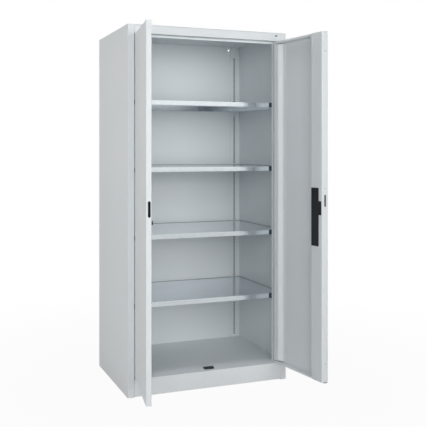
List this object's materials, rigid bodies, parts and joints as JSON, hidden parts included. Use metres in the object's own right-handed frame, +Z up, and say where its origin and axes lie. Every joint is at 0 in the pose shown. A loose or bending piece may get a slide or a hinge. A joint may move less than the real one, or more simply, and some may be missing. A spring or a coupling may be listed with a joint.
{
  "type": "tool cabinet",
  "caption": "Tall steel cabinet with two hinged doors, adjustable shelves on slotted uprights and a turn handle that works a three-point rod lock.",
  "frame": {"origin": "on the ground, under the middle of the overall box with both doors open as stored; the middle of the steel body's own footprint is at X -8.2 mm, Y +203.2 mm", "axes": "+Z up, +X to the right of someone who faces the doors, +Y from the doors to the back"},
  "size_m": [1.0074, 1.0064, 1.95],
  "materials": {
    "light_grey_paint": "light grey powder coat, satin, very fine grain",
    "zinc_steel": "galvanised sheet, softly reflecting, faint cloudy spangle",
    "bright_steel": "bright turned steel",
    "black_plastic": "black moulded plastic, fine matt texture",
    "pale_nylon": "natural nylon, smooth",
    "black_rubber": "black rubber, matt",
    "plain_aluminium": "dark anodised aluminium, blank"
  },
  "bodies": {
    "carcass": {"left_side_wall": "light_grey_paint", "right_side_wall": "light_grey_paint", "back_panel": "light_grey_paint", "lid": "light_grey_paint", "header": "light_grey_paint", "floor_panel": "light_grey_paint", "front_plinth": "light_grey_paint", "front_floor_rail": "light_grey_paint", "rear_floor_rail": "light_grey_paint", "front_left_upright": "light_grey_paint", "front_right_upright": "light_grey_paint", "rear_left_upright": "light_grey_paint", "rear_right_upright": "light_grey_paint", "shelf_1": "zinc_steel", "shelf_1_front_left_clip": "zinc_steel", "shelf_1_front_right_clip": "zinc_steel", "shelf_1_rear_left_clip": "zinc_steel", "shelf_1_rear_right_clip": "zinc_steel", "shelf_2": "zinc_steel", "shelf_2_front_left_clip": "zinc_steel", "shelf_2_front_right_clip": "zinc_steel", "shelf_2_rear_left_clip": "zinc_steel", "shelf_2_rear_right_clip": "zinc_steel", "shelf_3": "zinc_steel", "shelf_3_front_left_clip": "zinc_steel", "shelf_3_front_right_clip": "zinc_steel", "shelf_3_rear_left_clip": "zinc_steel", "shelf_3_rear_right_clip": "zinc_steel", "shelf_4": "zinc_steel", "shelf_4_front_left_clip": "zinc_steel", "shelf_4_front_right_clip": "zinc_steel", "shelf_4_rear_left_clip": "zinc_steel", "shelf_4_rear_right_clip": "zinc_steel", "floor_stop": "black_plastic", "blank_badge": "plain_aluminium", "left_lower_hinge_pin": "bright_steel", "left_upper_hinge_pin": "bright_steel", "right_lower_hinge_pin": "bright_steel", "right_upper_hinge_pin": "bright_steel"},
    "left_door": {"left_door_leaf": "light_grey_paint", "left_door_stiffener": "light_grey_paint", "left_door_strike": "zinc_steel", "left_door_buffer": "black_rubber", "left_lower_bush": "pale_nylon", "left_upper_bush": "pale_nylon"},
    "right_door": {"right_door_leaf": "light_grey_paint", "right_door_box_section": "light_grey_paint", "right_lower_bush": "pale_nylon", "right_upper_bush": "pale_nylon", "lock_case": "black_plastic", "top_rod_guide": "black_plastic", "bottom_rod_guide": "black_plastic", "handle_rosette": "black_plastic"},
    "handle": {"turn_handle": "black_plastic", "drive_pinion": "bright_steel"},
    "top_rod": {"top_rod": "bright_steel"},
    "bottom_rod": {"bottom_rod": "bright_steel"},
    "side_bolt": {"side_bolt": "black_plastic"},
    "key_core": {"key_cylinder": "bright_steel"}
  },
  "joints": [
    {"name": "left_door_hinge", "type": "hinge", "parent": "carcass", "child": "left_door", "pos_m": [-0.42424, -0.08881, 0], "axis": [0, 0, 1], "range_deg": [-10, 100]},
    {"name": "right_door_hinge", "type": "hinge", "parent": "carcass", "child": "right_door", "pos_m": [0.40776, -0.08881, 0], "axis": [0, 0, -1], "range_deg": [-11.6, 98.4]},
    {"name": "handle_turn", "type": "hinge", "parent": "right_door", "child": "handle", "pos_m": [0.45999, -0.44248, 0.994], "axis": [0.9893, 0.1461, 0], "range_deg": [0, 90]},
    {"name": "top_rod_slide", "type": "slide", "parent": "right_door", "child": "top_rod", "axis": [0, 0, 1], "range_m": [0, 0.018]},
    {"name": "bottom_rod_slide", "type": "slide", "parent": "right_door", "child": "bottom_rod", "axis": [0, 0, -1], "range_m": [0, 0.018]},
    {"name": "side_bolt_slide", "type": "slide", "parent": "right_door", "child": "side_bolt", "axis": [0.1461, -0.9893, 0], "range_m": [0, 0.018]},
    {"name": "key_turn", "type": "hinge", "parent": "handle", "child": "key_core", "pos_m": [0.45999, -0.44248, 0.994], "axis": [0.9893, 0.1461, 0], "range_deg": [0, 90]}
  ],
  "couplings": [
    {"joint": "handle_turn", "follows": "top_rod_slide", "rad_per_m": 87.266},
    {"joint": "bottom_rod_slide", "follows": "top_rod_slide", "ratio": 1},
    {"joint": "side_bolt_slide", "follows": "top_rod_slide", "ratio": 1}
  ]
}
